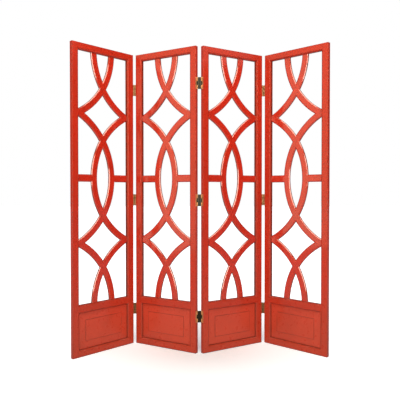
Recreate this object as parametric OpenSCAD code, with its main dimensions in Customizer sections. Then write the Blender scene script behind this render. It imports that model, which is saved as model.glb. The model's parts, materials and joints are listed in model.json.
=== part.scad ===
// Folding room divider of four lacquered panels in a zigzag. Each panel is a grooved frame that holds
// a board of curved fretwork above a raised field panel. Three folds join the panels, each with three
// double-action hinges, so that a fold closes either way.
// A panel is drawn about its own centre line, with its front face at y = -panel_t / 2 and its foot at
// z = 0. The standing screen is centred on the origin, and its middle fold points to the front.

/* [Panels] */
// Width of one panel
panel_w = 440; // [380:5:520]
// Height of one panel
panel_h = 1829; // [1600:1:2000]
// Thickness of the frame
panel_t = 24; // [23:0.5:32]
// Chamfer that breaks the outer edges
edge_break = 1.5; // [0.5:0.5:3]

/* [Frame] */
// Width of a stile
stile_w = 45; // [38:1:60]
// Height of the top and bottom rails
rail_h = 41; // [32:1:60]
// Height of the middle rail
middle_rail_h = 48; // [32:1:80]
// Height of the opening for the field panel
field_open_h = 215; // [160:1:400]
// Size of the bevel round the front of each opening
frame_bevel = 7; // [3:0.5:9]
// Depth of the groove that holds the boards
groove_d = 9; // [6:0.5:12]
// Width of that groove
groove_w = 6; // [4:0.5:8]
// Distance from the frame's front face to the groove
groove_set = 13; // [11:0.5:15]
// Length of a rail's tenon
tenon_l = 25; // [16:1:28]
// Step from the groove's floor to the tenon's edge
tenon_step = 1; // [0.5:0.5:5]

/* [Fretwork] */
// Width of a curved strip
strip_w = 42; // [24:1:50]
// Thickness of the fretwork board
strip_t = 12; // [9:0.5:12.5]
// Distance from the frame's front face to the fretwork's face
fret_set = 11; // [9:0.5:11.5]
// Width of the bevel along a strip's front edge
strip_bevel_w = 6; // [2:0.5:9]
// Depth of that bevel
strip_bevel_d = 4.5; // [2:0.5:7]
// Chamfer along a strip's back edge
strip_break = 1; // [0.5:0.5:2]
// Height of a cross bar
bar_h = 44; // [24:1:60]
// Half the width of the centre eye, between the strips' centre lines
eye_half_w = 63.5; // [50:0.5:80]
// Distance from the stile to the point where two arcs meet
tip_inset = 6; // [0:1:20]
// Distance from the top or middle rail's edge to the centre of the end arcs behind it
arc_over = 21; // [0:1:35]

/* [Field panel] */
// Width of the slope round the raised field
field_margin = 46; // [25:1:60]
// Distance from the frame's front face to the raised field
field_set = 8; // [6:0.5:10]
// Step at the raised field's edge
field_step = 1.5; // [0.5:0.5:2.5]

/* [Hinges] */
// Height of a hinge
hinge_h = 70; // [60:1:90]
// Distance from the panel's end to the nearest hinge's middle
hinge_inset = 220; // [130:5:400]
// Distance from the frame's faces to a leaf's edges
leaf_set = 0.5; // [0:0.5:2]
// Thickness of a leaf
leaf_t = 1.5; // [1.4:0.1:2.5]
// Diameter of a barrel
barrel_d = 5; // [4:0.1:5.6]
// Diameter of a hinge pin
pin_d = 2.5; // [1.5:0.1:3]
// Diameter of a pin's head
pin_head_d = 4.4; // [3.6:0.1:5]
// Height of a pin's head
pin_head_h = 1; // [0.6:0.1:1.6]
// Thickness of the link between the two pins
link_t = 2.2; // [1.4:0.1:3]
// Diameter of the rib up the middle of the link
rib_d = 3.8; // [3.2:0.1:4.6]
// Width of the neck between a barrel and its leaf
neck_w = 2.4; // [1.6:0.1:3.5]
// Space between two panels folded flat on each other
fold_gap = 1; // [0.6:0.1:4]

/* [Screws] */
// Diameter of a screw's shank
screw_d = 3; // [2:0.1:3.4]
// Diameter of a screw's head
screw_head_d = 5.4; // [4.6:0.1:5.8]
// Length of a screw
screw_l = 16; // [8:1:17]
// Length of a screw's point
screw_tip = 3; // [1:0.5:4]
// Diameter of the end of that point
screw_point_d = 0.8; // [0.4:0.1:1.4]
// Width of the slot in a screw's head
slot_w = 0.7; // [0.4:0.1:1]
// Depth of that slot
slot_d = 0.6; // [0.3:0.1:0.9]
// Distance between the two columns of screws in a leaf
screw_cols = 12.6; // [12:0.1:13.5]
// Distance between the two rows of screws in a leaf
screw_rows = 50; // [30:1:56]

/* [Standing pose] */
// Angle of each inner panel to the line of the screen
inner_yaw = 30; // [15:0.5:45]
// Angle of the left outer panel to that line
left_outer_yaw = 45; // [15:0.5:60]
// Angle of the right outer panel to that line
right_outer_yaw = 42.5; // [15:0.5:60]

/* [Fits] */
// Gap round glued joints and let-in pieces
joint_gap = 0.1; // [0.05:0.05:0.2]
// Room for a board to move in the floor of its groove
board_play = 1; // [0.5:0.5:2]
// Radial play of a pin in the link
pin_play = 0.06; // [0.04:0.01:0.1]
// Radial play of a pin in its leaf
pin_seat = 0.02; // [0.01:0.01:0.03]
// Gap between two barrels on a pin, and from a barrel to the leaf that it passes
barrel_gap = 0.3; // [0.2:0.05:0.6]

/* [Hidden] */
PANELS = [1, 2, 3, 4];
FOLDS = ["left_fold", "centre_fold", "right_fold"];
PANEL_PARTS = ["left_stile", "right_stile", "top_rail", "middle_rail", "bottom_rail", "fretwork",
               "field_panel"];
FOLD_PARTS = ["left_leaves", "right_leaves", "links", "left_pins", "right_pins", "left_screws",
              "right_screws"];

$fn = 96;
LACQUER = [0.80, 0.17, 0.10];
LACQUER_DEEP = [0.72, 0.13, 0.08];
BRASS = [0.73, 0.55, 0.32];
AGED_BRASS = [0.33, 0.29, 0.20];

// How far a cut starts outside the surface that it goes into
overshoot = 1;

// One panel, in its own frame
half_w = panel_w / 2;
half_t = panel_t / 2;
open_half = half_w - stile_w;
groove_front = groove_set - half_t;
groove_back = groove_front + groove_w;
board_front = groove_front + joint_gap;
board_back = groove_back - joint_gap;
board_edge = groove_d - board_play;
tenon_in = groove_d + tenon_step;
middle_z = rail_h + field_open_h;
fret_low = middle_z + middle_rail_h;
fret_high = panel_h - rail_h;

// The arcs: three circles on each side of the centre line, one arc_step apart. Neighbouring circles
// meet tip_inset from the stile, which fixes their radius. arc_sweep takes in all of a circle that lies
// within the opening, and the opening's edge trims it.
fret_mid = (fret_low + fret_high) / 2;
arc_step = (fret_high - fret_low) / 2 + arc_over;
arc_reach = open_half - tip_inset + eye_half_w;
arc_r = (pow(arc_reach, 2) + pow(arc_step / 2, 2)) / (2 * arc_reach);
arc_x = arc_r - eye_half_w;
arc_sweep = 176;

// One hinge
hinge_z = [hinge_inset, panel_h / 2, panel_h - hinge_inset];
barrel_h = (hinge_h - 2 * barrel_gap) / 3;
barrel_step = barrel_h + barrel_gap;
pin_out = barrel_d / 2 + barrel_gap;
pin_span = panel_t + fold_gap;
pin_reach = half_w + pin_out;
leaf_w = panel_t - 2 * leaf_set;
head_h = (screw_head_d - screw_d) / 2;

// Where the panels stand, from the middle of the centre fold outwards: [x, y, yaw]. They are worked out
// for the right half of the screen, and the left half is its mirror image with an angle of its own.
inner_panel = [pin_span / 2 + pin_reach * cos(inner_yaw), pin_reach * sin(inner_yaw), inner_yaw];
inner_pin = [inner_panel[0] + pin_reach * cos(inner_yaw), inner_panel[1] + pin_reach * sin(inner_yaw)];
function link_yaw(outer_yaw) = (inner_yaw - outer_yaw) / 2;
function outer_link(outer_yaw) = let (yaw = link_yaw(outer_yaw))
    [inner_pin[0] + pin_span / 2 * cos(yaw), inner_pin[1] + pin_span / 2 * sin(yaw), yaw];
function outer_panel(outer_yaw) = let (yaw = link_yaw(outer_yaw))
    [inner_pin[0] + pin_span * cos(yaw) + pin_reach * cos(outer_yaw),
     inner_pin[1] + pin_span * sin(yaw) - pin_reach * sin(outer_yaw), -outer_yaw];
function mirrored(place) = [-place[0], place[1], -place[2]];
panel_places = [mirrored(outer_panel(left_outer_yaw)), mirrored(inner_panel), inner_panel,
                outer_panel(right_outer_yaw)];
fold_places = [mirrored(outer_link(left_outer_yaw)), [0, 0, 0], outer_link(right_outer_yaw)];

// The screen is centred on its outermost corners
corners = [for (u = [-1, 1]) for (v = [-1, 1])
           each [[u * (half_w - edge_break), v * half_t], [u * half_w, v * (half_t - edge_break)]]];
function turned(point, yaw) = [point[0] * cos(yaw) - point[1] * sin(yaw),
                               point[0] * sin(yaw) + point[1] * cos(yaw)];
outline = [for (place = panel_places) for (corner = corners)
           [place[0], place[1]] + turned(corner, place[2])];
function middle_of(values) = (min(values) + max(values)) / 2;
screen_x = middle_of([for (point = outline) point[0]]);
screen_y = middle_of([for (point = outline) point[1]]);

module stand_at(place)
    translate([place[0] - screen_x, place[1] - screen_y, 0]) rotate(place[2]) children();
module at_panel(k) stand_at(panel_places[k - 1]) children();
module at_fold(f) stand_at(fold_places[f]) children();
module on_side(side) mirror([side < 0 ? 1 : 0, 0, 0]) children();

// Extrudes a shape drawn in (y, z) along x, centred
module along_x(length) rotate([90, 0, 90]) linear_extrude(length, center = true) children();

// A rectangle about the origin with its corners cut off
module cut_rectangle(w, h, cut) polygon([
    [-w / 2 + cut, -h / 2], [w / 2 - cut, -h / 2], [w / 2, -h / 2 + cut], [w / 2, h / 2 - cut],
    [w / 2 - cut, h / 2], [-w / 2 + cut, h / 2], [-w / 2, h / 2 - cut], [-w / 2, -h / 2 + cut]]);

// Breaks the edges round the top and the foot of a panel, on whatever is put in it
module edges_broken() intersection() {
    children();
    translate([0, 0, panel_h / 2]) along_x(panel_w + 2 * overshoot) cut_rectangle(panel_t, panel_h, edge_break);
}

// Cross-section of the right stile: bevel, groove and broken edges
module stile_section() polygon([
    [open_half + frame_bevel, -half_t], [half_w - edge_break, -half_t],
    [half_w, -half_t + edge_break], [half_w, half_t - edge_break],
    [half_w - edge_break, half_t], [open_half + edge_break, half_t],
    [open_half, half_t - edge_break], [open_half, groove_back],
    [open_half + groove_d, groove_back], [open_half + groove_d, groove_front],
    [open_half, groove_front], [open_half, -half_t + frame_bevel]]);

// A mortise in the right stile for the rail of height h whose lower edge is at rail_z
module mortise(rail_z, h) translate([open_half, groove_front, rail_z + tenon_in - joint_gap])
    cube([tenon_l + joint_gap, groove_w, h - 2 * (tenon_in - joint_gap)]);

// Recess and pilot holes for one leaf in the right stile's edge. The recess runs out at both faces.
module leaf_recess(z) {
    translate([half_w - leaf_t, -half_t - overshoot, z - hinge_h / 2 - joint_gap])
        cube([leaf_t + overshoot, panel_t + 2 * overshoot, hinge_h + 2 * joint_gap]);
    at_screws(z) translate([0, 0, -screw_l - joint_gap])
        cylinder(h = screw_l + joint_gap, d = screw_d + 2 * joint_gap);
}

// Puts its children at each screw of a leaf, with +Z out of the stile's edge
module at_screws(z) for (v = [-1, 1]) for (w = [-1, 1])
    translate([half_w, v * screw_cols / 2, z + w * screw_rows / 2]) rotate([0, 90, 0]) children();

module stile(side, hinged) color(LACQUER) on_side(side) difference() {
    edges_broken() linear_extrude(panel_h) stile_section();
    mortise(0, rail_h);
    mortise(middle_z, middle_rail_h);
    mortise(fret_high, rail_h);
    if (hinged) for (z = hinge_z) leaf_recess(z);
}

// One edge of a rail's cross-section as points in (y, z), going from front to back. An edge on an
// opening has the bevel and the groove. The other kind is only broken.
function rail_edge(open) = open
    ? [[-half_t, frame_bevel], [-half_t + frame_bevel, 0], [groove_front, 0], [groove_front, groove_d],
       [groove_back, groove_d], [groove_back, 0], [half_t - edge_break, 0], [half_t, edge_break]]
    : [[-half_t, edge_break], [-half_t + edge_break, 0], [half_t - edge_break, 0], [half_t, edge_break]];
function flipped(points, h) = [for (i = [len(points) - 1 : -1 : 0]) [points[i][0], h - points[i][1]]];

// Plan of a rail between the stiles: its ends are cut to fit over the stiles' bevels
rail_end = [[open_half + frame_bevel, -half_t], [open_half, -half_t + frame_bevel],
            [open_half, half_t - edge_break], [open_half + edge_break, half_t]];
module rail_plan() polygon(concat(
    [for (p = rail_end) [p[0] - joint_gap, p[1]]],
    [for (i = [len(rail_end) - 1 : -1 : 0]) [joint_gap - rail_end[i][0], rail_end[i][1]]]));

// A block in the plane of the groove, from z0 to z1, that reaches past both ends of the rail
module tongue(reach, z0, z1) translate([-open_half - reach, board_front, z0])
    cube([2 * (open_half + reach), board_back - board_front, z1 - z0]);

// A rail of height h. low_open and high_open say which of its edges face an opening.
module rail(rail_z, h, low_open, high_open) color(LACQUER) translate([0, 0, rail_z]) union() {
    intersection() {
        along_x(panel_w) polygon(concat(rail_edge(low_open), flipped(rail_edge(high_open), h)));
        linear_extrude(h) rail_plan();
    }
    tongue(tenon_l, tenon_in, h - tenon_in);
    if (!low_open) tongue(groove_d - joint_gap, 0, h - tenon_in);
    if (!high_open) tongue(groove_d - joint_gap, tenon_in, h);
}

// Cross-section of a strip, w wide about the middle, as points across and through the board
function strip_points(w, middle) =
    let (front = fret_set - half_t, back = fret_set - half_t + strip_t, low = middle - w / 2,
         high = middle + w / 2)
    [[low + strip_bevel_w, front], [high - strip_bevel_w, front], [high, front + strip_bevel_d],
     [high, back - strip_break], [high - strip_break, back], [low + strip_break, back],
     [low, back - strip_break], [low, front + strip_bevel_d]];

// One arc, whose centre lies on the given side of the centre line at height z
module arc_strip(side, z) translate([side * arc_x, 0, z]) rotate([-90, 0, 0])
    rotate_extrude(angle = arc_sweep, start = (side < 0 ? 0 : 180) - arc_sweep / 2)
        polygon(strip_points(strip_w, arc_r));

// One cross bar, from the stile to the middle of the eye's strip
module cross_bar(side) {
    bar_l = open_half + groove_d - eye_half_w;
    translate([side * (eye_half_w + bar_l / 2), 0, fret_mid]) along_x(bar_l)
        polygon([for (p = strip_points(bar_h, 0)) [p[1], p[0]]]);
}

// The opening above the middle rail, with the grooves round it
module fret_space() {
    translate([-open_half + joint_gap, -half_t, fret_low + joint_gap])
        cube([2 * (open_half - joint_gap), panel_t, fret_high - fret_low - 2 * joint_gap]);
    tongue(board_edge, fret_low - board_edge, fret_high + board_edge);
}

module fretwork() color(LACQUER_DEEP) intersection() {
    union() {
        for (side = [-1, 1]) {
            for (step = [-1, 0, 1]) arc_strip(side, fret_mid + step * arc_step);
            cross_bar(side);
        }
    }
    fret_space();
}

// Outline of the field panel across an opening of the given half width: edge, slope, step and field
function field_points(half) =
    let (edge = half + board_edge, flat = half - field_margin, top = field_set - half_t)
    [[-edge, board_back], [-edge, board_front], [-half, board_front], [-flat, top + field_step],
     [-flat, top], [flat, top], [flat, top + field_step], [half, board_front], [edge, board_front],
     [edge, board_back]];

module field_panel() color(LACQUER) translate([0, 0, rail_h + field_open_h / 2]) intersection() {
    linear_extrude(field_open_h + 2 * board_edge, center = true) polygon(field_points(open_half));
    along_x(panel_w) polygon([for (p = field_points(field_open_h / 2)) [p[1], p[0]]]);
}

// A countersunk screw with its head's face at z = 0 and its point down
module screw() difference() {
    union() {
        translate([0, 0, -head_h])
            cylinder(h = head_h, d1 = screw_d - joint_gap, d2 = screw_head_d - joint_gap);
        translate([0, 0, screw_tip - screw_l]) cylinder(h = screw_l - screw_tip - head_h, d = screw_d);
        translate([0, 0, -screw_l]) cylinder(h = screw_tip, d1 = screw_point_d, d2 = screw_d);
    }
    translate([-screw_head_d, -slot_w / 2, -slot_d]) cube([2 * screw_head_d, slot_w, slot_d + overshoot]);
}

// A leaf let into the right stile's edge, with its barrels at the top and the foot
module leaf(z) difference() {
    union() {
        translate([half_w - leaf_t, -leaf_w / 2, z - hinge_h / 2]) cube([leaf_t, leaf_w, hinge_h]);
        for (w = [-1, 1]) translate([0, 0, z + w * barrel_step - barrel_h / 2]) {
            translate([pin_reach, 0, 0]) cylinder(h = barrel_h, d = barrel_d);
            translate([half_w - leaf_t, -neck_w / 2, 0]) cube([leaf_t + pin_out, neck_w, barrel_h]);
        }
    }
    translate([pin_reach, 0, z - hinge_h]) cylinder(h = 2 * hinge_h, d = pin_d + 2 * pin_seat);
    at_screws(z) {
        translate([0, 0, -2 * leaf_t]) cylinder(h = 3 * leaf_t, d = screw_d + joint_gap);
        translate([0, 0, -head_h]) cylinder(h = head_h, d1 = screw_d, d2 = screw_head_d);
    }
}

module leaves(side) color(BRASS) on_side(side) for (z = hinge_z) leaf(z);

// The link of one hinge, about the middle of the fold: a ribbed web with a barrel at each pin
module link(z) difference() {
    union() {
        for (u = [-1, 1]) translate([u * pin_span / 2, 0, z])
            cylinder(h = barrel_h, d = barrel_d, center = true);
        translate([0, 0, z]) cube([pin_span, link_t, barrel_h], center = true);
        translate([0, 0, z]) cube([pin_span - 2 * pin_out, link_t, hinge_h], center = true);
        translate([0, 0, z]) cylinder(h = hinge_h, d = rib_d, center = true);
    }
    for (u = [-1, 1]) translate([u * pin_span / 2, 0, z - hinge_h])
        cylinder(h = 2 * hinge_h, d = pin_d + 2 * pin_play);
}

module links() color(AGED_BRASS) for (z = hinge_z) link(z);

// A pin with a head at each end, in the barrels at the right stile's edge
module hinge_pin(z) translate([pin_reach, 0, z]) {
    cylinder(h = hinge_h + 2 * joint_gap, d = pin_d, center = true);
    for (up = [0, 1]) mirror([0, 0, up]) translate([0, 0, hinge_h / 2 + joint_gap]) {
        cylinder(h = pin_head_h / 2, d = pin_head_d);
        translate([0, 0, pin_head_h / 2]) cylinder(h = pin_head_h / 2, d1 = pin_head_d, d2 = pin_d);
    }
}

module pins(side) color(AGED_BRASS) on_side(side) for (z = hinge_z) hinge_pin(z);

module screws(side) color(BRASS) on_side(side) for (z = hinge_z) at_screws(z) screw();

for (k = PANELS) {
    at_panel(k) stile(-1, k > 1);
    at_panel(k) stile(1, k < len(PANELS));
    at_panel(k) rail(fret_high, rail_h, true, false);
    at_panel(k) rail(middle_z, middle_rail_h, true, true);
    at_panel(k) rail(0, rail_h, false, true);
    at_panel(k) fretwork();
    at_panel(k) field_panel();
}

// Fold f joins panel f + 1, on its left, to panel f + 2. The left leaves, pins and screws are in the
// right edge of the left panel.
for (f = [0 : len(FOLDS) - 1]) {
    at_panel(f + 1) leaves(1);
    at_panel(f + 2) leaves(-1);
    at_fold(f) links();
    at_panel(f + 1) pins(1);
    at_panel(f + 2) pins(-1);
    at_panel(f + 1) screws(1);
    at_panel(f + 2) screws(-1);
}
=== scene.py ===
"""Dresses a folding screen of four lacquered panels: frames, fretwork, raised fields and brass."""

import json
import math

import bmesh
import bpy
import numpy as np
from mathutils.geometry import tessellate_polygon
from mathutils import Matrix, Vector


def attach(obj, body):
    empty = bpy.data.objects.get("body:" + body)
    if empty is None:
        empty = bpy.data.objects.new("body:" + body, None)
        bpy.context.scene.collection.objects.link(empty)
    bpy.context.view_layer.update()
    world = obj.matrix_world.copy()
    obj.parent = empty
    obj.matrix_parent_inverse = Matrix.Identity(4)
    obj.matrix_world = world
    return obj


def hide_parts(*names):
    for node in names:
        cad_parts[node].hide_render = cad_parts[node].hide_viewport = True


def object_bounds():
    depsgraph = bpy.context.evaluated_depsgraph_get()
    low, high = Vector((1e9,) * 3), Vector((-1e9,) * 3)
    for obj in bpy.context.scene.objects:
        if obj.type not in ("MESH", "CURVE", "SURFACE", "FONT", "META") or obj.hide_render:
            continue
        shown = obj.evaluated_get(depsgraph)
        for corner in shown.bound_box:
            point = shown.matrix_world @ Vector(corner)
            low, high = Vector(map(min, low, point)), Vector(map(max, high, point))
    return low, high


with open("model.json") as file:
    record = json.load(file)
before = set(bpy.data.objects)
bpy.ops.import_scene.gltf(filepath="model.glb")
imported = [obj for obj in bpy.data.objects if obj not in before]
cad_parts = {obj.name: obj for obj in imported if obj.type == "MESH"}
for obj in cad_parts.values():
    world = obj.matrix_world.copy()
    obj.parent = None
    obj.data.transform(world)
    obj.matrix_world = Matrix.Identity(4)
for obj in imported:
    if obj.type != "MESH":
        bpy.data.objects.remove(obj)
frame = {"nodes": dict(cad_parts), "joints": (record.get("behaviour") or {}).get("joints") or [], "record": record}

bl_info = {
    "name": "Folding Screen Finish",
    "version": (1, 0, 0),
    "blender": (4, 5, 0),
    "location": "3D View > Sidebar > Screen",
    "description": "Builds a folding screen's lacquered panels and the finish of its hinges",
    "category": "Object",
}

CAD_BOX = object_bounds()
PANELS = (1, 2, 3, 4)
FOLDS = ("left_fold", "centre_fold", "right_fold")

# The pin at one edge of each panel, and whether that edge is its right (1) or its left (-1)
EDGE_PIN = {
    1: ("left_fold_outer_pin", 1),
    2: ("centre_fold_left_pin", 1),
    3: ("centre_fold_right_pin", -1),
    4: ("right_fold_outer_pin", -1),
}
FEET = {mount["name"]: mount["pos_m"] for mount in frame["record"]["mounts"]}
PINS = {joint["name"]: joint["pos_m"] for joint in frame["joints"]}

# Points nearer to each other than this are one point, in metres
MERGE = 1e-6
# Heights further apart than this belong to two hinges, in metres
HINGE_SPACE = 0.1
# Most of the room between two corners that one fading line takes
FADE_SHARE = 0.4
# Strength of the painted shade along a panel's foot, a dark line where it meets the floor
FOOT_SHADE = 0.8
# New pieces keep a sharp edge between faces that meet at more than this angle
SHARP = math.radians(32)
# The solids' own objects have faces within this angle joined, and edges over this one rounded
FLAT, EDGE = math.radians(0.5), math.radians(40)
# Refraction of the clear coats
COAT_IOR = 1.8
# The point that all the lights face
AIM = (0.0, 0.0, 0.95)
BLACK, WHITE = (0, 0, 0, 1), (1, 1, 1, 1)


def length(name, default, description):
    """A size in metres that the panel shows."""
    return bpy.props.FloatProperty(
        name=name, description=description, default=default, min=0.0, unit="LENGTH", precision=4
    )


def tint(name, default, description):
    """A colour that the panel shows."""
    return bpy.props.FloatVectorProperty(
        name=name, description=description, default=default, min=0.0, max=1.0, subtype="COLOR"
    )


def turn(name, default, description):
    """An angle that the panel shows, given in degrees."""
    return bpy.props.FloatProperty(
        name=name, description=description, default=math.radians(default), subtype="ANGLE"
    )


def amount(name, default, description, top=1.0):
    """A plain number that the panel shows."""
    return bpy.props.FloatProperty(
        name=name, description=description, default=default, min=0.0, max=top
    )


class FrameSizes(bpy.types.PropertyGroup):
    """Sizes of one panel's frame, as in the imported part."""

    width: length("Panel width", 0.440, "Width of one panel")
    thickness: length("Thickness", 0.024, "Thickness of the frame")
    stile: length("Stile", 0.045, "Width of a stile")
    rail: length("Rail", 0.041, "Height of the top and bottom rails")
    middle_rail: length("Middle rail", 0.048, "Height of the middle rail")
    field_open: length("Field opening", 0.215, "Height of the opening for the field panel")
    bevel: length("Bevel", 0.007, "Bevel round the front of each opening")
    edge_break: length("Broken edge", 0.0015, "Chamfer along the outer edges of the solids")
    groove_depth: length("Groove depth", 0.009, "Depth of the groove that holds the boards")
    groove_width: length("Groove width", 0.006, "Width of that groove")
    groove_set: length("Groove setback", 0.013, "Distance from the frame's face to the groove")
    joint_gap: length("Joint gap", 0.0001, "Gap between a rail and its stile")
    ease: length("Eased arris", 0.0010, "How far a bevel's arris is rounded along each face")
    fade: length("Line width", 0.0030, "Width over which a dark line along an edge fades out")
    # The foot line is painted shade: a dark band where the panel meets the floor
    foot_line: length("Foot line", 0.0040, "Height of the dark line along a panel's foot")


class FretSizes(bpy.types.PropertyGroup):
    """Sizes of the fretwork board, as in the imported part."""

    strip: length("Strip", 0.042, "Width of a curved strip")
    thickness: length("Thickness", 0.012, "Thickness of the board")
    setback: length("Setback", 0.011, "Distance from the frame's face to the board's face")
    bevel_width: length("Bevel width", 0.006, "Width of the bevel along a strip")
    bevel_depth: length("Bevel depth", 0.0045, "Depth of that bevel")
    back_break: length("Broken back edge", 0.001, "Chamfer along a strip's back edge")
    bar: length("Cross bar", 0.044, "Height of a cross bar")
    eye_half: length("Eye", 0.0635, "Half the eye's width, between the strips' centre lines")
    tip_inset: length("Tip inset", 0.006, "Distance from the stile to where two arcs meet")
    arc_over: length("Arc overshoot", 0.021, "Distance from a rail's edge to the end arcs' centre")
    ease: length("Eased arris", 0.0009, "How far an arris is rounded along each face")
    fade: length("Line width", 0.0030, "Width over which a dark line along an edge fades out")
    arc_steps: bpy.props.IntProperty(
        name="Arc steps", description="Points along the longest arcs", default=40, min=4, max=200
    )


class FieldSizes(bpy.types.PropertyGroup):
    """Sizes of the raised field panel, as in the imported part."""

    margin: length("Margin", 0.046, "Width of the slope round the raised field")
    setback: length("Setback", 0.008, "Distance from the frame's face to the raised field")
    step: length("Step", 0.0015, "Step at the raised field's edge")
    play: length("Play", 0.001, "Room for the board in the floor of its groove")
    ease: length("Eased arris", 0.0006, "How far an arris is rounded along each face")
    fade: length("Line width", 0.0030, "Width over which a dark line along an edge fades out")


class LacquerLook(bpy.types.PropertyGroup):
    """Colours and gloss of the lacquer."""

    frame_red: tint("Frame red", (0.525, 0.024, 0.009), "Lacquer of the stiles and rails")
    fret_red: tint("Fretwork red", (0.585, 0.022, 0.008), "Lacquer of the fretwork")
    field_red: tint("Field red", (0.62, 0.045, 0.022), "Lacquer of the field panels")
    shade: tint("Shade", (0.325, 0.017, 0.008), "Darker red in which the coat pools")
    # Painted shade: the parts near the floor turn towards this browner, darker red
    floor_shade: tint("Floor shade", (0.38, 0.100, 0.050), "Dull film on the parts near the floor")
    # Dark glaze along edges, which also stands for the painted shade in corners, grooves and recesses
    glaze_and_shade: tint("Glaze and shade", (0.130, 0.017, 0.009), "Dark glaze left in corners and along edges")
    roughness: amount("Roughness", 0.30, "Roughness of the lacquer")
    coat: amount("Coat", 0.45, "Weight of the clear coat")
    fret_coat: amount("Fretwork coat", 1.0, "Weight of the clear coat on the fretwork")
    sheen: tint("Sheen", (1.0, 0.70, 0.42), "Tint of the reflections in the lacquer itself")


class BrassLook(bpy.types.PropertyGroup):
    """Colours of the hinges and screws."""

    leaf: tint("Leaf", (0.50, 0.26, 0.11), "Brass of the outer folds' leaves")
    # Painted light: a brighter copy of the leaves' brass, given to the middle fold alone
    bright: tint("Bright", (0.88, 0.44, 0.20), "Brass of the middle fold's leaves")
    screw: tint("Screw", (0.55, 0.33, 0.15), "Brass of the screws")
    aged: tint("Aged", (0.30, 0.145, 0.065), "Brown brass of the outer folds' links and pins")
    # Painted shade: a near-black copy of the links' brass, given to the middle fold alone
    dark: tint("Dark", (0.020, 0.021, 0.011), "Blackened brass of the middle fold's links and pins")
    tarnish: tint("Tarnish", (0.060, 0.028, 0.014), "Tarnish in the brass")
    roughness: amount("Roughness", 0.34, "Roughness of the brass")
    polish: amount("Polish", 0.08, "Weight of the clear coat on the middle fold's links and pins")
    ease: length("Eased edge", 0.00025, "Rounding of the hinges' edges")


class StudioSetup(bpy.types.PropertyGroup):
    """Camera and lights."""

    camera_side: bpy.props.FloatProperty(
        name="Camera side", description="Camera's place along X", default=-0.0403, unit="LENGTH"
    )
    camera_back: length("Camera distance", 3.0072, "Camera's distance in front of the origin")
    camera_height: length("Camera height", 0.9640, "Camera's height above the floor")
    camera_tilt: turn("Camera tilt", 0.93, "Tilt below the horizon")
    camera_turn: turn("Camera turn", -0.727, "Turn to the left, or to the right if negative")
    lens: amount("Lens", 44.54, "Focal length in millimetres on a 36 mm sensor", top=300.0)
    front_power: amount("Front power", 80.0, "Watts of the softbox behind the camera", top=5000.0)
    high_power: amount("High power", 125.0, "Watts of the high middle light", top=5000.0)
    right_power: amount("Right power", 6.0, "Watts of the high right light", top=5000.0)
    side_power: amount("Side power", 24.0, "Watts of the left softbox", top=5000.0)
    back_power: amount("Back light", 0.85, "Strength of the light from behind", top=20.0)
    fill_power: amount("Fill light", 0.05, "Strength of the light from in front", top=20.0)
    mirror_share: amount("Mirrored share", 0.28, "Share of the stage's light in reflections")
    light_tone: tint("Light", (1.0, 0.93, 0.78), "Colour of the softboxes")
    side_tone: tint("Side light", (1.0, 0.82, 0.58), "Colour of the left softbox")
    floor_tone: tint("Floor", (0.83, 0.87, 0.96), "Colour of the floor")
    floor_glow: amount("Floor glow", 1.0, "Light that the floor gives off", top=5.0)


def panel_place(k):
    """Panel k's foot and yaw: its centre line runs from the foot's middle to the pin at an edge."""
    foot = np.array(FEET[f"foot_{k}"][:2])
    pin_name, side = EDGE_PIN[k]
    along = side * (np.array(PINS[pin_name][:2]) - foot)
    return foot, math.atan2(along[1], along[0])


def stood_up(points, k):
    """Points of panel k's own frame (across, through, up) in the whole screen's frame: turned by
    the panel's yaw and moved to its foot."""
    foot, yaw = panel_place(k)
    across, through, up = np.moveaxis(np.asarray(points, float), -1, 0)
    x = foot[0] + across * math.cos(yaw) - through * math.sin(yaw)
    y = foot[1] + across * math.sin(yaw) + through * math.cos(yaw)
    return np.stack([x, y, up], -1)


def eased_profile(corners, cuts, fade, marks, closed=True, steps=4):
    """A profile with rounded corners: each corner C becomes the curve C + (1-s)^2 cut a + s^2 cut b
    for s from 0 to 1, where a and b point to its neighbours, with one more point fade further along
    each side, or FADE_SHARE of the way where there is less room. A corner's marks are its glaze and
    painted shade, its wear, and the glaze and painted shade of the side after it. The first two hold
    on its curve, and the further points have their side's glaze and painted shade and no wear.
    Returns the points, with the glaze and painted shade and the wear of each."""
    corners = np.asarray(corners, float)
    cuts = np.asarray(cuts, float)[:, None]
    marks = np.asarray(marks, float)
    to_last = np.roll(corners, 1, axis=0) - corners
    to_next = np.roll(corners, -1, axis=0) - corners
    last_room = np.linalg.norm(to_last, axis=1, keepdims=True)
    next_room = np.linalg.norm(to_next, axis=1, keepdims=True)
    a = to_last / last_room
    b = to_next / next_room
    last_cut = np.roll(cuts, 1, axis=0)
    next_cut = np.roll(cuts, -1, axis=0)
    fade_a = np.minimum(fade, FADE_SHARE * (last_room - cuts - last_cut))
    fade_b = np.minimum(fade, FADE_SHARE * (next_room - cuts - next_cut))
    s = np.linspace(0.0, 1.0, steps + 1)[None, :, None]
    curve = corners[:, None] + (1 - s) ** 2 * (cuts * a)[:, None] + s**2 * (cuts * b)[:, None]
    before = (corners + (cuts + fade_a) * a)[:, None]
    after = (corners + (cuts + fade_b) * b)[:, None]
    points = np.concatenate([before, curve, after], axis=1)
    held = np.zeros((len(corners), steps + 3, 2))
    held[:, 1:-1] = marks[:, None, :2]
    held[:, 0, 0] = np.roll(marks[:, 2], 1)
    held[:, -1, 0] = marks[:, 2]
    if not closed:
        points, held = points[1:-1], held[1:-1]
    points, held = points.reshape(-1, 2), held.reshape(-1, 2)
    if not closed:
        points = np.vstack([corners[:1], points, corners[-1:]])
        held = np.vstack([marks[:1, :2], held, marks[-1:, :2]])
    return points, held


def grid_faces(rows, columns):
    """Quads between neighbouring rows of a grid whose columns close on themselves."""
    j = np.arange(columns)
    i = np.arange(rows - 1)[:, None] * columns
    k = (j + 1) % columns
    return np.stack([i + j, i + k, i + columns + k, i + columns + j], -1).reshape(-1, 4)


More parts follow.
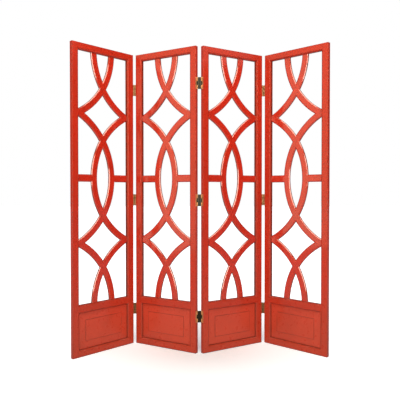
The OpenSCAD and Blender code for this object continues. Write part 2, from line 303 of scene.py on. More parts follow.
def make_piece(name, points, quads, polygons, marks, uv, finish, k):
    """One mesh from arrays: points in panel k's frame, quads and further polygons, the marks glaze
    and painted shade, and wear, at each point, and a map in metres. It merges doubles, turns the
    faces outwards, and makes the piece ride on its panel."""
    mesh = bpy.data.meshes.new(name)
    faces = [tuple(q) for q in np.asarray(quads).tolist()] + [tuple(p) for p in polygons]
    mesh.from_pydata(stood_up(points, k), [], faces)
    for column, label in enumerate(("glaze_and_shade", "wear")):
        layer = mesh.attributes.new(label, "FLOAT", "POINT")
        layer.data.foreach_set("value", np.ascontiguousarray(marks[:, column], dtype=np.float32))
    corner_points = np.empty(len(mesh.loops), dtype=np.int32)
    mesh.loops.foreach_get("vertex_index", corner_points)
    layer = mesh.uv_layers.new(name="Surface")
    layer.data.foreach_set("uv", uv[corner_points].astype(np.float32).ravel())
    work = bmesh.new()
    work.from_mesh(mesh)
    bmesh.ops.remove_doubles(work, verts=work.verts, dist=MERGE)
    bmesh.ops.recalc_face_normals(work, faces=work.faces)
    work.to_mesh(mesh)
    work.free()
    mesh.shade_smooth()
    mesh.set_sharp_from_angle(angle=SHARP)
    mesh.materials.append(finish)
    piece = bpy.data.objects.new(name, mesh)
    bpy.context.scene.collection.objects.link(piece)
    shading = piece.modifiers.new("Even shading", "WEIGHTED_NORMAL")
    shading.keep_sharp = True
    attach(piece, f"panel_{k}")
    return piece


def swept(rings, section, section_marks, glaze_and_shade, along, foot_line):
    """A closed section carried along a path, one ring at a time: points, quads, end caps, marks and
    a map of the way round the section and along the path. The glaze and painted shade given is put
    over the section's where it is darker, and so is a line of painted shade below foot_line."""
    stations, count = rings.shape[:2]
    last = (stations - 1) * count
    caps = [tuple(range(count)), tuple(range(last, last + count))]
    held = np.broadcast_to(section_marks, (stations, *section_marks.shape)).copy()
    glaze_and_shade = np.maximum(glaze_and_shade, FOOT_SHADE * (rings[..., 2] < foot_line))
    held[..., 0] = np.maximum(held[..., 0], glaze_and_shade)
    step = np.linalg.norm(np.diff(section, axis=0, prepend=section[-1:]), axis=1)
    around = np.broadcast_to(np.cumsum(step), along.shape)
    uv = np.stack([around, along], -1).reshape(-1, 2)
    return rings.reshape(-1, 3), grid_faces(stations, count), caps, held.reshape(-1, 2), uv


def opened_edge(sizes, front_glaze_and_shade):
    """The edge of a stile or rail towards an opening, as rows of through, depth into the wood, cut,
    glaze and painted shade, wear, and the glaze and painted shade of the side after. They run from
    the back arris round the groove to the top of the bevel, darkest in the groove and its corners.
    The last argument is the glaze and painted shade of the wall in front of the groove."""
    half_t = sizes.thickness / 2
    front = sizes.groove_set - half_t
    back = front + sizes.groove_width
    deep, ease, tiny = sizes.groove_depth, sizes.ease, 0.2 * sizes.ease
    return np.array([
        (half_t, 0.0, 2 * ease, 0.30, 1.0, 0.35),
        (back, 0.0, tiny, 0.9, 0.0, 1.0),
        (back, deep, tiny, 1.0, 0.0, 1.0),
        (front, deep, tiny, 1.0, 0.0, 1.0),
        (front, 0.0, tiny, 0.9, 0.0, front_glaze_and_shade),
        (-half_t + sizes.bevel, 0.0, ease, 0.60, 0.8, 0.32),
        (-half_t, sizes.bevel, ease, 0.18, 1.0, 0.0),
    ])


def plain_edge(sizes):
    """The outer edge of a stile or rail, from its back arris to its front one, in the same rows."""
    half_t, outer = sizes.thickness / 2, 2 * sizes.edge_break
    return np.array([(half_t, 0.0, outer, 0.30, 1.0, 0.10), (-half_t, 0.0, outer, 0.30, 1.0, 0.0)])


def other_way(rows):
    """The same edge from its other end: the sides' glaze and painted shade move to the rows before them."""
    rows = rows[::-1].copy()
    rows[:, 5] = np.roll(rows[:, 5], -1)
    return rows


def stile_corners(sizes):
    """The right stile's section: (across, through) corners, with the cut and the marks of each."""
    half_w = sizes.width / 2
    inner = opened_edge(sizes, front_glaze_and_shade=0.70)
    inner[:, 1] += half_w - sizes.stile
    outer = other_way(plain_edge(sizes))
    outer[:, 1] = half_w
    table = np.vstack([inner[-1:], outer, inner[:-1]])
    return table[:, [1, 0]], table[:, 2], table[:, 3:]


def rail_corners(sizes, height, low_open, high_open):
    """A rail's section: (through, up) corners, with the cut and the marks of each."""
    opened, plain = opened_edge(sizes, front_glaze_and_shade=0.80), plain_edge(sizes)
    low = opened if low_open else plain
    high = other_way(opened if high_open else plain)
    high[:, 1] = height - high[:, 1]
    table = np.vstack([low, high])
    return table[:, :2], table[:, 2], table[:, 3:]


def hinge_heights():
    """The middles of the hinges on a panel's edge, and their height, from one fold's links."""
    points = frame["nodes"]["centre_fold_links"].data.vertices
    up = np.empty(3 * len(points))
    points.foreach_get("co", up)
    up = np.sort(up.reshape(-1, 3)[:, 2])
    breaks = np.flatnonzero(np.diff(up) > HINGE_SPACE)
    low = up[np.concatenate([[0], breaks + 1])]
    high = up[np.concatenate([breaks, [len(up) - 1]])]
    return (low + high) / 2, float((high - low).max())


def stile_stations(sizes, hinged):
    """Heights along a stile, with what is cut off its faces there, the dip of its edge for a leaf
    and the glaze and painted shade of that edge. At the ends the faces are rounded over by height
    (1-s)^2 and cut s^2 of twice the broken edge. Each dip has near upright walls and a dark line of
    glaze and painted shade round it."""
    reach = 2 * sizes.edge_break
    top = CAD_BOX[1].z
    s = np.linspace(1.0, 0.0, 5)
    end = np.stack([reach * (1 - s) ** 2, reach * s**2, 0 * s, 0 * s], -1)
    foot = [*end, (reach + sizes.fade, 0, 0, 0)]
    beds = []
    if hinged:
        middles, height = hinge_heights()
        leaf, line, wall, dark = 0.0015, 0.0015, 0.00005, 0.7
        half = height / 2 + sizes.joint_gap
        for middle in middles:
            low, high = middle - half, middle + half
            beds += [(low - line, 0, 0, 0), (low, 0, 0, dark), (low + wall, 0, leaf, dark)]
            beds += [(high - wall, 0, leaf, dark), (high, 0, 0, dark), (high + line, 0, 0, 0)]
    head = [(top - row[0], *row[1:]) for row in foot[::-1]]
    return np.array(foot + beds + head)


class SCREEN_OT_stiles(bpy.types.Operator):
    """Sweep each stile's eased section up the panel, with a shallow bed under each hinge leaf"""

    bl_idname = "screen.stiles"
    bl_label = "Stiles"

    def execute(self, context):
        sizes = context.scene.screen_frame
        half_w, half_t = sizes.width / 2, sizes.thickness / 2
        corners, cuts, marks = stile_corners(sizes)
        section, section_marks = eased_profile(corners, cuts, sizes.fade, marks)
        on_edge = section[:, 0] > half_w - 2.0 * sizes.edge_break
        for k in PANELS:
            for side, label in ((-1, "left"), (1, "right")):
                hinged = (k, side) not in ((PANELS[0], -1), (PANELS[-1], 1))
                z, off, dip, joint = stile_stations(sizes, hinged).T[:, :, None]
                across = np.minimum(section[:, 0], half_w - off - dip)
                through = np.clip(section[:, 1], off - half_t, half_t - off)
                up = np.broadcast_to(z, across.shape)
                rings = np.stack([side * across, through, up], -1)
                glaze_and_shade = joint * on_edge
                shape = swept(rings, section, section_marks, glaze_and_shade, up, sizes.foot_line)
                name = f"panel_{k}_{label}_stile"
                finish = lacquer(context, "frame")
                piece = make_piece(f"{name}_eased", *shape, finish, k)
                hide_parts(name)
        return {"FINISHED"}


class SCREEN_OT_rails(bpy.types.Operator):
    """Sweep each rail's eased section across the panel, with ends cut over the stiles' bevels"""

    bl_idname = "screen.rails"
    bl_label = "Rails"

    def execute(self, context):
        sizes = context.scene.screen_frame
        half_t = sizes.thickness / 2
        opening = sizes.width / 2 - sizes.stile - sizes.joint_gap
        rails = {
            "bottom": (0.0, sizes.rail, False, True),
            "middle": (sizes.rail + sizes.field_open, sizes.middle_rail, True, True),
            "top": (CAD_BOX[1].z - sizes.rail, sizes.rail, True, False),
        }
        line, dark = 0.0012, 0.6
        share = np.array([-1.0, -1.0, 0.0, 1.0, 1.0])[:, None]
        inset = np.array([0.0, line, 0.0, line, 0.0])[:, None]
        joint = np.array([dark, 0.0, 0.0, 0.0, dark])[:, None]
        for label, (rail_z, height, low_open, high_open) in rails.items():
            corners, cuts, marks = rail_corners(sizes, height, low_open, high_open)
            section, section_marks = eased_profile(corners, cuts, sizes.fade, marks)
            through = section[:, 0]
            over_bevel = np.maximum(sizes.bevel - (through + half_t), 0)
            over_back = np.maximum(through - (half_t - sizes.edge_break), 0)
            reach = opening + over_bevel + over_back
            across = share * (reach - inset)
            rings = np.stack(np.broadcast_arrays(across, through, rail_z + section[:, 1]), -1)
            shape = swept(rings, section, section_marks, joint, across, sizes.foot_line)
            for k in PANELS:
                name = f"panel_{k}_{label}_rail"
                finish = lacquer(context, "frame")
                piece = make_piece(f"{name}_eased", *shape, finish, k)
                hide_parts(name)
        return {"FINISHED"}


def arc(centre, start, end, steps):
    """Points along a circle about centre from start to end, for each offset, at even angles."""
    centre = np.array(centre)
    first, last = start - centre, end - centre
    radius = np.linalg.norm(first, axis=1)[:, None]
    turn_a = np.arctan2(first[:, 1], first[:, 0])[:, None]
    turn_b = np.arctan2(last[:, 1], last[:, 0])[:, None]
    turn_b = turn_a + (turn_b - turn_a + math.pi) % (2 * math.pi) - math.pi
    angle = turn_a + (turn_b - turn_a) * np.linspace(0.0, 1.0, steps + 1)
    return centre + radius[..., None] * np.stack([np.cos(angle), np.sin(angle)], -1)


def straight(start, end, steps):
    """Points along a straight line from start to end, for each offset, evenly spaced."""
    share = np.linspace(0.0, 1.0, steps + 1)[:, None]
    return start[:, None] * (1 - share) + end[:, None] * share


def chained(*edges):
    """Joins edges that meet end to start, keeping each shared point once."""
    return np.concatenate([edge[:, :-1] for edge in edges[:-1]] + [edges[-1]], axis=1)


def four_quarters(quarter):
    """A closed loop from its first quarter, which runs from the +across axis to the +up axis."""
    flip = np.array([-1.0, 1.0])
    parts = [quarter, (quarter * flip)[:, ::-1], -quarter, (-quarter * flip)[:, ::-1]]
    return np.concatenate([part[:, :-1] for part in parts], axis=1)


def fret_loops(frame_sizes, fret, offset):
    """Outlines of the fretwork board about its middle, each moved offset into the wood: the outer
    edge, the eye and the two diamonds. Every curve is a circle of the arcs' radius plus or minus
    half a strip, and corners are where two of them, or one and an edge of the opening, meet."""
    half_open = frame_sizes.width / 2 - frame_sizes.stile
    low = frame_sizes.rail + frame_sizes.field_open + frame_sizes.middle_rail
    high = CAD_BOX[1].z - frame_sizes.rail
    step = (high - low) / 2 + fret.arc_over
    reach = half_open - fret.tip_inset + fret.eye_half
    radius = (reach**2 + (step / 2) ** 2) / (2 * reach)
    a = radius - fret.eye_half
    side = half_open - frame_sizes.joint_gap
    rail = (high - low) / 2 - frame_sizes.joint_gap
    outer = radius + fret.strip / 2 - offset
    inner = radius - fret.strip / 2 + offset
    bar = fret.bar / 2 - offset
    flat = 0 * offset

    def pair(x, y):
        return np.stack(np.broadcast_arrays(x, y), -1).astype(float)

    # The arcs' centres lie a to the left and right of the middle line, at the heights 0 and step
    half = fret.arc_steps // 2
    cross_x = (outer**2 - inner**2) / (4 * a)
    cross_z = np.sqrt(outer**2 - (cross_x + a) ** 2)
    tip_z = np.sqrt(inner**2 - (a - side) ** 2)
    far = step - rail
    p = {
        "bar end": pair(side + flat, flat),
        "bar corner": pair(side + flat, bar),
        "bar root": pair(np.sqrt(outer**2 - bar**2) - a, bar),
        "low cross": pair(cross_x, cross_z),
        "low tip": pair(side + flat, tip_z),
        "high tip": pair(side + flat, step - tip_z),
        "high cross": pair(cross_x, step - cross_z),
        "rail outer": pair(np.sqrt(outer**2 - far**2) - a, rail + flat),
        "rail inner": pair(np.sqrt(inner**2 - far**2) - a, rail + flat),
        "top point": pair(flat, step - np.sqrt(inner**2 - a**2)),
    }
    quarter = chained(
        straight(p["bar end"], p["bar corner"], 2),
        straight(p["bar corner"], p["bar root"], 6),
        arc((-a, 0.0), p["bar root"], p["low cross"], half),
        arc((a, 0.0), p["low cross"], p["low tip"], half),
        straight(p["low tip"], p["high tip"], 2),
        arc((a, step), p["high tip"], p["high cross"], half),
        arc((-a, step), p["high cross"], p["rail outer"], half),
        straight(p["rail outer"], p["rail inner"], 2),
        arc((-a, step), p["rail inner"], p["top point"], half),
    )
    eye_top = pair(flat, np.sqrt(inner**2 - a**2))
    eye = arc((-a, 0.0), pair(inner - a, flat), eye_top, half)
    corner = pair(a - np.sqrt(outer**2 - (step / 2) ** 2), flat)
    peak = pair(flat, step / 2 - np.sqrt(outer**2 - a**2))
    diamond = arc((a, step / 2), corner, peak, half)
    lift = np.array([0.0, step / 2])
    loops = [four_quarters(quarter), four_quarters(eye)]
    loops += [four_quarters(diamond) + lift, four_quarters(diamond) - lift]
    return loops, (low + high) / 2


class SCREEN_OT_fretwork(bpy.types.Operator):
    """Cut the fretwork boards: an eased edge carried round the board and round its three holes"""

    bl_idname = "screen.fretwork"
    bl_label = "Fretwork"

    def execute(self, context):
        sizes, fret = context.scene.screen_frame, context.scene.screen_fret
        front = fret.setback - sizes.thickness / 2
        back = front + fret.thickness
        deep = fret.bevel_width + 2 * fret.ease + fret.fade
        corners = [
            (deep, back),
            (0.0, back),
            (0.0, front + fret.bevel_depth),
            (fret.bevel_width, front),
            (deep, front),
        ]
        cuts = [0.0, 2 * fret.back_break, fret.ease, 2 * fret.ease, 0.0]
        # Glaze and painted shade: darkest along the strip's side and the arris to its bevel
        marks = [(0, 0, 0), (0.35, 1, 0.90), (1.0, 0.6, 0), (0.12, 1, 0), (0, 0, 0)]
        profile, profile_marks = eased_profile(corners, cuts, fret.fade, marks, closed=False)
        offset, depth = profile.T
        loops, middle = fret_loops(sizes, fret, offset)
        points, quads, held, rims = [], [], [], []
        start = 0
        for loop in loops:
            rings, count = loop.shape[:2]
            through = np.broadcast_to(depth[:, None], (rings, count))
            placed = np.stack([loop[..., 0], through, middle + loop[..., 1]], -1)
            points.append(placed.reshape(-1, 3))
            quads.append(start + grid_faces(rings, count))
            held.append(np.repeat(profile_marks, count, axis=0))
            first = start + np.arange(count)
            rims.append((first, first + (rings - 1) * count))
            start += rings * count
        points, quads, held = (np.concatenate(parts) for parts in (points, quads, held))
        uv = points[:, [0, 2]]
        flat = np.column_stack([uv, np.zeros(len(uv))])
        faces = []
        for back_or_front in zip(*rims):
            rim = np.concatenate(back_or_front)
            outlines = [flat[part].tolist() for part in back_or_front]
            faces += rim[np.array(tessellate_polygon(outlines))].tolist()
        for k in PANELS:
            name = f"panel_{k}_fretwork"
            finish = lacquer(context, "fret")
            piece = make_piece(f"{name}_eased", points, quads, faces, held, uv, finish, k)
            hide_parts(name)
        return {"FINISHED"}


class SCREEN_OT_fields(bpy.types.Operator):
    """Shape the field panels: a moulded profile carried round, and mitred at the corners"""

    bl_idname = "screen.fields"
    bl_label = "Field panels"

    def execute(self, context):
        sizes, field = context.scene.screen_frame, context.scene.screen_field
        half_t = sizes.thickness / 2
        half_u = sizes.width / 2 - sizes.stile
        half_z = sizes.field_open / 2
        edge = sizes.groove_depth - field.play
        board_front = sizes.groove_set - half_t + sizes.joint_gap
        board_back = board_front + sizes.groove_width - 2 * sizes.joint_gap
        top = field.setback - half_t
        deep = field.margin + 3 * field.fade
        corners = [
            (edge, board_back),
            (-edge, board_back),
            (-edge, board_front),
            (0.0, board_front),
            (field.margin, top + field.step),
            (field.margin, top),
            (deep, top),
        ]
        tiny = 0.5 * field.ease
        cuts = [0.0, tiny, tiny, tiny, tiny, field.ease, 0.0]
        # Glaze and painted shade: darkest in the groove, against the frame's edge and at the step's foot
        marks = [(0, 0, 0), (0, 0, 1), (1, 0, 1), (1, 0, 0)]
        marks += [(0.8, 0, 0.6), (0.45, 1, 0), (0, 0, 0)]
        profile, profile_marks = eased_profile(corners, cuts, field.fade, marks, closed=False)
        inset, depth = profile.T
        sign = np.array([(-1, -1), (1, -1), (1, 1), (-1, 1)])
        rim = np.stack([half_u - inset, half_z - inset], -1)[:, None] * sign
        centre_z = sizes.rail + half_z
        through = np.broadcast_to(depth[:, None], rim.shape[:2])
        points = np.stack([rim[..., 0], through, centre_z + rim[..., 1]], -1).reshape(-1, 3)
        count = len(profile)
        quads = grid_faces(count, 4)
        faces = [(0, 1, 2, 3), tuple(range(4 * count - 4, 4 * count))]
        held = np.repeat(profile_marks, 4, axis=0)
        uv = points[:, [0, 2]]
        for k in PANELS:
            name = f"panel_{k}_field_panel"
            finish = lacquer(context, "field")
            piece = make_piece(f"{name}_eased", points, quads, faces, held, uv, finish, k)
            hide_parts(name)
        return {"FINISHED"}


class SCREEN_OT_hinges(bpy.types.Operator):
    """Give the leaves, links, pins and screws their brass and ease their edges"""

    bl_idname = "screen.hinges"
    bl_label = "Hinges"

    def execute(self, context):
        look = context.scene.screen_brass
        screws = brass(context, "Screw brass", look.screw, tarnish=0.35)
        leaf = brass(context, "Leaf brass", look.leaf, tarnish=0.45)
        bright = brass(context, "Brass with painted light", look.bright, tarnish=0.30)
        aged = brass(context, "Aged brass", look.aged, tarnish=0.60)
        dark = brass(context, "Brass with painted shade", look.dark, tarnish=0.50, coat=look.polish)
        for fold in FOLDS:
            # The middle fold's leaves get brass with painted light, its links and pins brass with painted shade
            leaves, links = (bright, dark) if fold == "centre_fold" else (leaf, aged)
            finishes = {"leaves": leaves, "links": links, "pins": links, "screws": screws}
            for part in ("left_leaves", "right_leaves", "links", "left_pins", "right_pins"):
                dress(frame["nodes"][f"{fold}_{part}"], finishes[part.split("_")[-1]], look.ease)
            for part in ("left_screws", "right_screws"):
                dress(frame["nodes"][f"{fold}_{part}"], finishes["screws"], 0.0)
        return {"FINISHED"}


def dress(node, finish, ease):
    """Puts a finish on a solid's own object, joins its loose triangles and rounds its edges."""
    node.data.materials.clear()
    node.data.materials.append(finish)
    weld = node.modifiers.new("Join", "WELD")
    weld.merge_threshold = MERGE
    if ease:
        flatten = node.modifiers.new("Flatten", "DECIMATE")
        flatten.decimate_type = "DISSOLVE"
        flatten.angle_limit = FLAT
        bevel = node.modifiers.new("Ease", "BEVEL")
        bevel.width = ease
        bevel.segments = 2
        bevel.limit_method = "ANGLE"
        bevel.angle_limit = EDGE
        bevel.harden_normals = True


def set_inputs(node, values):
    """Sets some of a node's unlinked inputs."""
    for key, value in values.items():
        node.inputs[key].default_value = value


def add_node(tree, kind, values=None, **settings):
    """A node with some of its settings and unlinked inputs set."""
    node = tree.nodes.new(kind)
    for key, value in settings.items():
        setattr(node, key, value)
    set_inputs(node, values or {})
    return node


def feed(tree, sockets, values):
    """Gives each socket its value: a link from another socket, or a constant."""
    for socket, value in zip(sockets, values):
        if isinstance(value, bpy.types.NodeSocket):
            tree.links.new(value, socket)
        else:
            socket.default_value = value


def add_mix(tree, factor, first, second):
    """Mixes two colours by a factor. Each may be a socket or a constant."""
    node = add_node(tree, "ShaderNodeMix", data_type="RGBA", clamp_factor=True)
    feed(tree, (node.inputs[0], node.inputs[6], node.inputs[7]), (factor, first, second))
    return node.outputs[2]


def add_math(tree, operation, *values, clamp=False):
    """One math node on sockets or constants."""
    node = add_node(tree, "ShaderNodeMath", operation=operation, use_clamp=clamp)
    feed(tree, node.inputs, values)
    return node.outputs[0]


def add_noise(tree, vector, scale, detail, stretch=(1, 1, 1)):
    """A noise on a vector, stretched by a scale of its own along each axis."""
    mapping = add_node(tree, "ShaderNodeMapping", {"Scale": stretch})
    tree.links.new(vector, mapping.inputs["Vector"])
    values = {"Scale": scale, "Detail": detail, "Roughness": 0.55}
    noise = add_node(tree, "ShaderNodeTexNoise", values)
    tree.links.new(mapping.outputs[0], noise.inputs["Vector"])
    return noise.outputs[0]


def add_range(tree, value, low, high, to_low=0.0, to_high=1.0):
    """Maps a value smoothly from one range to another."""
    limits = {"From Min": low, "From Max": high, "To Min": to_low, "To Max": to_high}
    node = add_node(tree, "ShaderNodeMapRange", limits, interpolation_type="SMOOTHSTEP")
    tree.links.new(value, node.inputs["Value"])
    return node.outputs[0]


def split_up(tree, vector):
    """The X, Y and Z of a vector."""
    node = add_node(tree, "ShaderNodeSeparateXYZ")
    tree.links.new(vector, node.inputs[0])
    return node.outputs


def new_group(name, inputs):
    """An empty node group with named inputs, that puts out a colour, a roughness and a height for
    the bump. Returns it with the sockets that its inputs come from."""
    kinds = {"f": "NodeSocketFloat", "c": "NodeSocketColor", "v": "NodeSocketVector"}
    outputs = [("Colour", "c"), ("Roughness", "f"), ("Height", "f")]
    group = bpy.data.node_groups.new(name, "ShaderNodeTree")
    for way, sockets in (("INPUT", inputs), ("OUTPUT", outputs)):
        for label, kind in sockets:
            group.interface.new_socket(name=label, in_out=way, socket_type=kinds[kind])
    return group, group.nodes.new("NodeGroupInput").outputs


def finish_group(group, colour, rough, height):
    """Links a group's results to its outputs."""
    made = group.nodes.new("NodeGroupOutput")
    for socket, result in zip(made.inputs, (colour, rough, height)):
        group.links.new(result, socket)
    return group


def lacquer_group():
    """Aged lacquer: darker red pooled in clouds, mottles and brush lines, painted shade near the
    floor, dark glaze and painted shade along marked lines, and specks on arrises. Each range maps a
    noise or a height in metres to a share of a colour or a change of the roughness."""
    name = "Aged lacquer"
    if name in bpy.data.node_groups:
        return bpy.data.node_groups[name]
    inputs = [("Red", "c"), ("Shade", "c"), ("Glaze and shade colour", "c"), ("Floor shade", "c"), ("Position", "v")]
    inputs += [("Along", "v"), ("Glaze and shade", "f"), ("Wear", "f"), ("Roughness", "f")]
    tree, take = new_group(name, inputs)
    place, glaze_and_shade_colour = take["Position"], take["Glaze and shade colour"]
    clouds = add_noise(tree, place, scale=3.2, detail=4.0)
    mottle = add_noise(tree, place, scale=42.0, detail=5.0)
    brush = add_noise(tree, take["Along"], scale=9.0, detail=4.0, stretch=(70, 2.5, 1))
    specks = add_noise(tree, place, scale=120.0, detail=3.0)
    peel = add_noise(tree, place, scale=260.0, detail=2.0)

    shade = add_range(tree, clouds, 0.42, 0.78, to_high=0.34)
    mottled = add_range(tree, mottle, 0.45, 0.85, to_high=0.16)
    brushed = add_range(tree, brush, 0.52, 0.80, to_high=0.22)
    shade = add_math(tree, "ADD", shade, mottled)
    shade = add_math(tree, "ADD", shade, brushed, clamp=True)
    colour = add_mix(tree, shade, take["Red"], take["Shade"])
    # Painted shade: towards a browner, darker red below half a metre, most at the foot
    low = add_range(tree, split_up(tree, place)["Z"], 0.05, 0.50, to_low=0.22, to_high=0.0)
    colour = add_mix(tree, low, colour, take["Floor shade"])
    broken = add_range(tree, mottle, 0.30, 0.60, to_low=0.70)
    # Dark glaze and painted shade along the marked lines and in the corners, broken by the mottle
    line = add_math(tree, "POWER", take["Glaze and shade"], 1.3)
    line = add_math(tree, "MULTIPLY", line, broken, clamp=True)
    colour = add_mix(tree, line, colour, glaze_and_shade_colour)
    rub = add_math(tree, "MULTIPLY", add_range(tree, specks, 0.60, 0.74), take["Wear"])
    rub = add_math(tree, "MULTIPLY", rub, 0.4, clamp=True)
    colour = add_mix(tree, rub, colour, glaze_and_shade_colour)

    rough = add_range(tree, mottle, 0.3, 0.7, to_low=-0.04, to_high=0.06)
    rough = add_math(tree, "ADD", take["Roughness"], rough)
    rough = add_math(tree, "MULTIPLY_ADD", line, 0.22, rough)
    height = add_math(tree, "MULTIPLY_ADD", brush, 0.7, peel)
    return finish_group(tree, colour, rough, height)


def brass_group():
    """Tarnished brass: cloudy stains that are also duller, and fine rubbing."""
    name = "Tarnished brass"
    if name in bpy.data.node_groups:
        return bpy.data.node_groups[name]
    inputs = [("Brass", "c"), ("Tarnish", "c"), ("Position", "v")]
    inputs += [("Amount", "f"), ("Roughness", "f")]
    tree, take = new_group(name, inputs)
    clouds = add_noise(tree, take["Position"], scale=90.0, detail=5.0)
    fine = add_noise(tree, take["Position"], scale=520.0, detail=3.0, stretch=(1, 1, 0.15))
    stain = add_range(tree, clouds, 0.40, 0.68)
    stain = add_math(tree, "MULTIPLY", stain, take["Amount"], clamp=True)
    colour = add_mix(tree, stain, take["Brass"], take["Tarnish"])
    rough = add_math(tree, "MULTIPLY_ADD", stain, 0.25, take["Roughness"])
    return finish_group(tree, colour, rough, fine)


def placed_group(material, group, values, strength, distance):
    """Puts a group into a material with its own values, fixed to the object, and links its colour,
    its roughness and a bump from its height to the shader. Returns its node and the shader."""
    tree = material.node_tree
    node = add_node(tree, "ShaderNodeGroup", values, node_tree=group)
    where = add_node(tree, "ShaderNodeTexCoord")
    tree.links.new(where.outputs["Object"], node.inputs["Position"])
    shader = tree.nodes["Principled BSDF"]
    tree.links.new(node.outputs["Colour"], shader.inputs["Base Color"])
    tree.links.new(node.outputs["Roughness"], shader.inputs["Roughness"])
    bump = add_node(tree, "ShaderNodeBump", {"Strength": strength, "Distance": distance})
    tree.links.new(node.outputs["Height"], bump.inputs["Height"])
    tree.links.new(bump.outputs[0], shader.inputs["Normal"])
    return node, shader


def new_material(name):
    """A material with nodes, found again by its name if it was made before."""
    found = bpy.data.materials.get(name)
    if found:
        return found, False
    material = bpy.data.materials.new(name)
    material.use_nodes = True
    return material, True


def lacquer(context, part):
    """The lacquer of one part of the panels: frame, fret or field."""
    look = context.scene.screen_lacquer
    material, is_new = new_material(f"Red lacquer {part}")
    if not is_new:
        return material
    tree = material.node_tree
    red, coat = {
        "frame": (look.frame_red, look.coat),
        "fret": (look.fret_red, look.fret_coat),
        "field": (look.field_red, look.coat),
    }[part]
    colours = {"Red": red, "Shade": look.shade, "Glaze and shade colour": look.glaze_and_shade, "Floor shade": look.floor_shade}
    values = {key: (*colour, 1) for key, colour in colours.items()}
    values["Roughness"] = look.roughness
    node, shader = placed_group(material, lacquer_group(), values, strength=0.10, distance=0.0004)
    surface = add_node(tree, "ShaderNodeUVMap", uv_map="Surface")
    tree.links.new(surface.outputs[0], node.inputs["Along"])
    for label, socket in (("glaze_and_shade", "Glaze and shade"), ("wear", "Wear")):
        mark = add_node(tree, "ShaderNodeAttribute", attribute_name=label)
        tree.links.new(mark.outputs["Fac"], node.inputs[socket])
    clear = {"Coat Weight": coat, "Coat Roughness": 0.09, "Coat IOR": COAT_IOR}
    set_inputs(shader, {"IOR": 1.47, "Specular Tint": (*look.sheen, 1), **clear})
    return material


def brass(context, name, colour, tarnish, coat=0.0):
    """One of the hinges' kinds of brass, with its amount of tarnish and its clear coat."""
    look = context.scene.screen_brass
    material, is_new = new_material(name)
    if not is_new:
        return material
    values = {"Brass": (*colour, 1), "Tarnish": (*look.tarnish, 1), "Amount": tarnish}
    values["Roughness"] = look.roughness
    _, shader = placed_group(material, brass_group(), values, strength=0.15, distance=0.0002)
    clear = {"Coat Weight": coat, "Coat Roughness": 0.12, "Coat IOR": COAT_IOR}
    set_inputs(shader, {"Metallic": 0.55, "Specular IOR Level": 0.15, **clear})
    return material


def area_light(name, place, size, power, tone):
    """A rectangular softbox that faces the screen and isn't seen itself."""
    data = bpy.data.lights.new(name, "AREA")
    data.shape = "RECTANGLE"
    data.size, data.size_y = size
    data.energy = power
    data.color = tone
    lamp = bpy.data.objects.new(name, data)
    lamp.visible_camera = False
    bpy.context.scene.collection.objects.link(lamp)
    ahead = np.array(AIM) - np.array(place)
    down = ahead / np.linalg.norm(ahead)
    lamp.location = place
    lamp.rotation_euler = (math.acos(-down[2]), 0.0, math.atan2(down[1], down[0]) - math.pi / 2)


def mirrored_share(tree, studio):
    """One for all rays but the reflected ones, which see only a share of the stage's light."""
    mirrored = add_node(tree, "ShaderNodeLightPath").outputs["Is Glossy Ray"]
    return add_math(tree, "MULTIPLY_ADD", mirrored, studio.mirror_share - 1.0, 1.0)


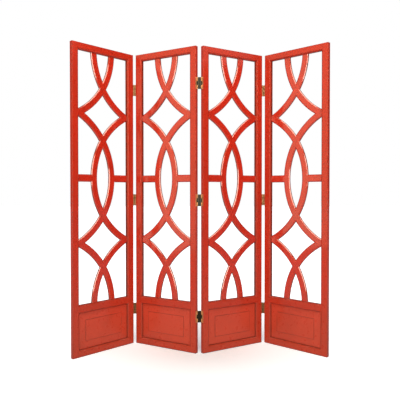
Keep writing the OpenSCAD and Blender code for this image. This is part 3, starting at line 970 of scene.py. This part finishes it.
class SCREEN_OT_stage(bpy.types.Operator):
    """Set the floor, the soft lights and the camera"""

    bl_idname = "screen.stage"
    bl_label = "Stage"

    def execute(self, context):
        studio = context.scene.screen_studio
        context.scene.view_settings.view_transform = "Standard"
        self.floor(studio)
        self.surroundings(context, studio)
        tone, side_tone = studio.light_tone, studio.side_tone
        lights = (
            ("Front softbox", (0.0, -4.4, 1.8), (1.4, 2.6), studio.front_power, tone),
            ("High light", (0.0, -2.2, 4.1), (3.0, 2.6), studio.high_power, tone),
            ("Right light", (2.7, -1.7, 3.3), (1.6, 1.6), studio.right_power, tone),
            ("Left softbox", (-3.4, -1.5, 1.7), (2.8, 3.2), studio.side_power, side_tone),
        )
        for light in lights:
            area_light(*light)
        self.camera(context, studio)
        return {"FINISHED"}

    def floor(self, studio):
        """A large flat square just under the feet. It shines more behind the screen, and further
        out it is whiter to the eye. Its ranges are in metres."""
        reach, drop = 30.0, 0.0004
        corners = np.array([(-1, -1), (1, -1), (1, 1), (-1, 1)]) * reach
        mesh = bpy.data.meshes.new("Floor")
        mesh.from_pydata([(x, y, -drop) for x, y in corners], [], [(0, 1, 2, 3)])
        material, _ = new_material("Pale floor")
        tree = material.node_tree
        shader = tree.nodes["Principled BSDF"]
        set_inputs(shader, {"Roughness": 0.9, "Specular IOR Level": 0.0})
        set_inputs(shader, {"Emission Strength": studio.floor_glow})
        where = add_node(tree, "ShaderNodeTexCoord").outputs["Object"]
        measure = add_node(tree, "ShaderNodeVectorMath", operation="LENGTH")
        tree.links.new(where, measure.inputs[0])
        away = measure.outputs["Value"]
        share = mirrored_share(tree, studio)
        behind = add_math(tree, "MULTIPLY_ADD", away, 0.25, split_up(tree, where)["Y"])
        glow = add_range(tree, behind, 0.0, 2.2, to_low=0.18)
        glow = add_math(tree, "MULTIPLY", glow, share)
        seen = add_node(tree, "ShaderNodeLightPath").outputs["Is Camera Ray"]
        around = add_math(tree, "MULTIPLY", add_range(tree, away, -0.5, 1.9), seen)
        glow = add_mix(tree, add_math(tree, "MAXIMUM", glow, around), BLACK, WHITE)
        base = add_mix(tree, share, BLACK, (*studio.floor_tone, 1))
        tree.links.new(base, shader.inputs["Base Color"])
        tree.links.new(glow, shader.inputs["Emission Color"])
        mesh.materials.append(material)
        floor = bpy.data.objects.new("Floor", mesh)
        bpy.context.scene.collection.objects.link(floor)

    def surroundings(self, context, studio):
        """White to the eye, and for the lighting bright behind the screen and dim before it."""
        world = bpy.data.worlds.new("Studio")
        context.scene.world = world
        world.use_nodes = True
        tree = world.node_tree
        tree.nodes.clear()
        split = split_up(tree, add_node(tree, "ShaderNodeTexCoord").outputs["Generated"])
        toward = add_math(tree, "MULTIPLY_ADD", split["Z"], 0.4, split["Y"])
        glow = add_range(tree, toward, 0.35, 0.95, studio.fill_power, studio.back_power)
        glow = add_math(tree, "MULTIPLY", glow, mirrored_share(tree, studio))
        lit = add_node(tree, "ShaderNodeBackground", {"Color": (0.98, 0.99, 1.0, 1)})
        tree.links.new(glow, lit.inputs["Strength"])
        seen = add_node(tree, "ShaderNodeBackground", {"Color": WHITE, "Strength": 1.0})
        path = add_node(tree, "ShaderNodeLightPath")
        choose = add_node(tree, "ShaderNodeMixShader")
        tree.links.new(path.outputs["Is Camera Ray"], choose.inputs[0])
        tree.links.new(lit.outputs[0], choose.inputs[1])
        tree.links.new(seen.outputs[0], choose.inputs[2])
        out = add_node(tree, "ShaderNodeOutputWorld")
        tree.links.new(choose.outputs[0], out.inputs["Surface"])

    def camera(self, context, studio):
        """The camera at the photograph's place, level but for its tilt."""
        data = bpy.data.cameras.new("Camera")
        data.lens = studio.lens
        data.sensor_width = 36.0
        camera = bpy.data.objects.new("Camera", data)
        context.scene.collection.objects.link(camera)
        camera.location = (studio.camera_side, -studio.camera_back, studio.camera_height)
        camera.rotation_euler = (math.pi / 2 - studio.camera_tilt, 0.0, studio.camera_turn)
        context.scene.camera = camera


class SCREEN_PT_build(bpy.types.Panel):
    """Lists the sizes, the colours and the steps that build the screen."""

    bl_label = "Folding screen"
    bl_idname = "SCREEN_PT_build"
    bl_space_type = "VIEW_3D"
    bl_region_type = "UI"
    bl_category = "Screen"

    def draw(self, context):
        for name, (_, title) in GROUPS.items():
            box = self.layout.box()
            box.label(text=title)
            settings = getattr(context.scene, name)
            for key in settings.__annotations__:
                box.prop(settings, key)
        for operator in OPERATORS:
            self.layout.operator(operator.bl_idname)


GROUPS = {
    "screen_frame": (FrameSizes, "Frame"),
    "screen_fret": (FretSizes, "Fretwork"),
    "screen_field": (FieldSizes, "Field panels"),
    "screen_lacquer": (LacquerLook, "Lacquer"),
    "screen_brass": (BrassLook, "Brass"),
    "screen_studio": (StudioSetup, "Studio"),
}
OPERATORS = (
    SCREEN_OT_stage,
    SCREEN_OT_stiles,
    SCREEN_OT_rails,
    SCREEN_OT_fretwork,
    SCREEN_OT_fields,
    SCREEN_OT_hinges,
)


def register():
    """Registers the settings, the operators and the panel."""
    for name, (group, _) in GROUPS.items():
        bpy.utils.register_class(group)
        setattr(bpy.types.Scene, name, bpy.props.PointerProperty(type=group))
    for operator in OPERATORS:
        bpy.utils.register_class(operator)
    bpy.utils.register_class(SCREEN_PT_build)


def unregister():
    """Removes what register added."""
    bpy.utils.unregister_class(SCREEN_PT_build)
    for operator in reversed(OPERATORS):
        bpy.utils.unregister_class(operator)
    for name, (group, _) in GROUPS.items():
        delattr(bpy.types.Scene, name)
        bpy.utils.unregister_class(group)


def main():
    """Builds the whole screen."""
    register()
    bpy.ops.screen.stage()
    bpy.ops.screen.stiles()
    bpy.ops.screen.rails()
    bpy.ops.screen.fretwork()
    bpy.ops.screen.fields()
    bpy.ops.screen.hinges()


if __name__ == "__main__":
    main()
